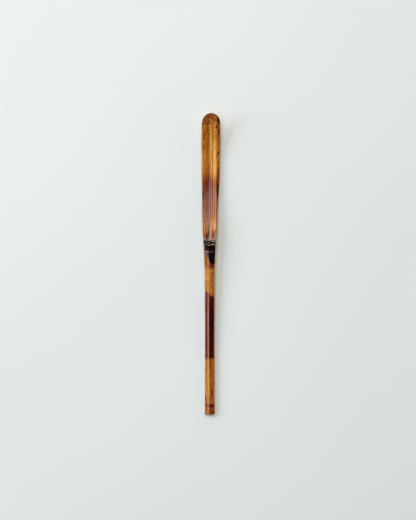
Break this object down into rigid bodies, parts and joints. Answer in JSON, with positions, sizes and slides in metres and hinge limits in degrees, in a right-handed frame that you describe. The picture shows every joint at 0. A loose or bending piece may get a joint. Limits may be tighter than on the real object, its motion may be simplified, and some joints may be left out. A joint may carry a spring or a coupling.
{
  "type": "bamboo tea scoop",
  "caption": "Long slender scoop carved from one strip of smoked bamboo, with a node at mid-length, a shallow trough blade and a round tip bent up.",
  "frame": {"origin": "on the table under the middle of the scoop's box, the scoop lying on its back", "axes": "+Y from the cut end to the bent tip, +X to the right seen from above, +Z from the back to the skin side"},
  "size_m": [0.0116, 0.1818, 0.0134],
  "materials": {
    "smoked_bamboo": "smoke-stained culm skin with a wiped, glossy surface; honey to dark red-brown bands"
  },
  "bodies": {
    "root": {"tea_scoop": "smoked_bamboo"}
  },
  "joints": []
}
